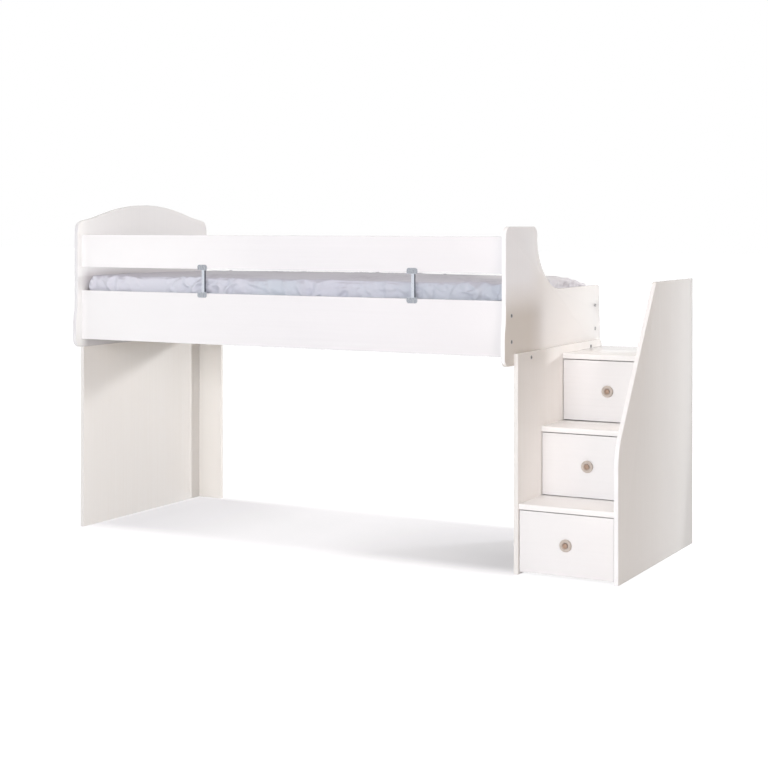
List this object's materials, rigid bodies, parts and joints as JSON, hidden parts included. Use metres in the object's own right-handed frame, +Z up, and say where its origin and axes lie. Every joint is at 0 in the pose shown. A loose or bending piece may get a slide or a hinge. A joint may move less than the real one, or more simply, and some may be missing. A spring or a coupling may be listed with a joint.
{
  "type": "mid sleeper bed",
  "caption": "Raised single bed of white boards with arched headboard, guard rail, mattress and a closed staircase with a storage drawer under each step.",
  "frame": {"origin": "on the floor, in the middle of the whole piece's length and depth", "axes": "+X from the headboard to the staircase, +Y to the wall side, +Z up; the drawers and the guard rail face -Y"},
  "size_m": [2.503, 1.012, 1.429],
  "materials": {
    "white_lacquer": "satin white lacquer on board",
    "warm_lacquer": "satin white lacquer on board",
    "drawer_lacquer": "satin white lacquer on board",
    "bare_wood": "plain planed softwood",
    "zinc_steel": "satin zinc",
    "mattress_cloth": "satin cloth, bluish grey",
    "runner_plastic": "light grey",
    "pull_beige": "beige gloss"
  },
  "bodies": {
    "bed_and_stair": {"headboard": "white_lacquer", "footboard": "white_lacquer", "front_side_rail": "white_lacquer", "rear_side_rail": "white_lacquer", "guard_rail": "white_lacquer", "tread_1": "white_lacquer", "tread_2": "white_lacquer", "tread_3": "white_lacquer", "left_leg_panel": "warm_lacquer", "rear_leg_board": "warm_lacquer", "stair_left_panel": "warm_lacquer", "stair_right_panel": "warm_lacquer", "stair_back_panel": "warm_lacquer", "front_slat_ledge": "bare_wood", "rear_slat_ledge": "bare_wood", "slat_1": "bare_wood", "slat_2": "bare_wood", "slat_3": "bare_wood", "slat_4": "bare_wood", "slat_5": "bare_wood", "slat_6": "bare_wood", "slat_7": "bare_wood", "slat_8": "bare_wood", "slat_9": "bare_wood", "slat_10": "bare_wood", "slat_11": "bare_wood", "slat_12": "bare_wood", "slat_13": "bare_wood", "guard_bracket_1": "zinc_steel", "guard_bracket_2": "zinc_steel", "mattress": "mattress_cloth", "runner_1_left": "runner_plastic", "runner_1_right": "runner_plastic", "runner_2_left": "runner_plastic", "runner_2_right": "runner_plastic", "runner_3_left": "runner_plastic", "runner_3_right": "runner_plastic"},
    "drawer_1": {"drawer_1_front": "drawer_lacquer", "drawer_1_left_side": "drawer_lacquer", "drawer_1_right_side": "drawer_lacquer", "drawer_1_back": "drawer_lacquer", "drawer_1_bottom": "drawer_lacquer", "drawer_1_knob": "pull_beige"},
    "drawer_2": {"drawer_2_front": "drawer_lacquer", "drawer_2_left_side": "drawer_lacquer", "drawer_2_right_side": "drawer_lacquer", "drawer_2_back": "drawer_lacquer", "drawer_2_bottom": "drawer_lacquer", "drawer_2_knob": "pull_beige"},
    "drawer_3": {"drawer_3_front": "drawer_lacquer", "drawer_3_left_side": "drawer_lacquer", "drawer_3_right_side": "drawer_lacquer", "drawer_3_back": "drawer_lacquer", "drawer_3_bottom": "drawer_lacquer", "drawer_3_knob": "pull_beige"}
  },
  "joints": [
    {"name": "drawer_1_slide", "type": "slide", "parent": "bed_and_stair", "child": "drawer_1", "axis": [0, -1, 0], "range_m": [0, 0.3]},
    {"name": "drawer_2_slide", "type": "slide", "parent": "bed_and_stair", "child": "drawer_2", "axis": [0, -1, 0], "range_m": [0, 0.3]},
    {"name": "drawer_3_slide", "type": "slide", "parent": "bed_and_stair", "child": "drawer_3", "axis": [0, -1, 0], "range_m": [0, 0.3]}
  ]
}
